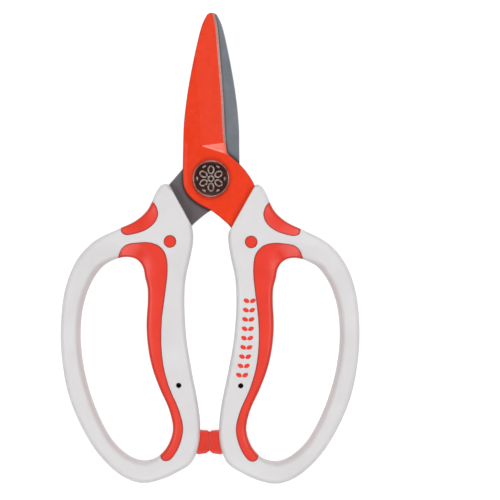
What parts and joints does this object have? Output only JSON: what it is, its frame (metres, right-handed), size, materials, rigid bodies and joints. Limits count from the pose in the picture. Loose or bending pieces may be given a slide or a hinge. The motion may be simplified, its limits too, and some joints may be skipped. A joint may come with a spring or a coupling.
{
  "type": "floral snips",
  "caption": "Hand snips for cutting flower stems: crossed blades on a pivot bolt, nylon loop handles with soft grips and bumpers at the loops' foot.",
  "frame": {"origin": "on the pivot axis, on the plane that the snips rest on when they lie flat and closed: the rear end of the pivot bolt", "axes": "+Y from the pivot to the blade tips, +X towards the front half's handle, +Z out of the front face along the pivot axis"},
  "size_m": [0.1168, 0.184, 0.0116],
  "materials": {
    "coated_steel": "red-orange non-stick coating on steel, satin",
    "blade_steel": "ground grey steel, fine lengthwise grain",
    "nylon": "moulded glass-filled nylon, pale grey, satin",
    "soft_grip": "soft moulded elastomer, red, matt",
    "bumper_rubber": "soft moulded elastomer, deep red, matt",
    "dark_steel": "dark polished steel with bright raised relief",
    "plated_steel": "bright plated steel"
  },
  "bodies": {
    "front_half": {"front_blade": "coated_steel", "front_handle": "nylon", "front_inner_grip": "soft_grip", "front_shoulder_grip": "soft_grip", "front_tang_plug": "soft_grip", "front_bumper": "bumper_rubber", "pivot_bolt": "dark_steel", "pivot_nut": "plated_steel", "spring_washer": "plated_steel", "flat_washer": "plated_steel"},
    "rear_half": {"rear_blade": "blade_steel", "rear_handle": "nylon", "rear_inner_grip": "soft_grip", "rear_shoulder_grip": "soft_grip", "rear_tang_plug": "soft_grip", "rear_bumper": "bumper_rubber"}
  },
  "joints": [
    {"name": "blade_pivot", "type": "hinge", "parent": "front_half", "child": "rear_half", "pos_m": [0, 0, 0], "axis": [0, 0, -1], "range_deg": [0, 55]}
  ]
}
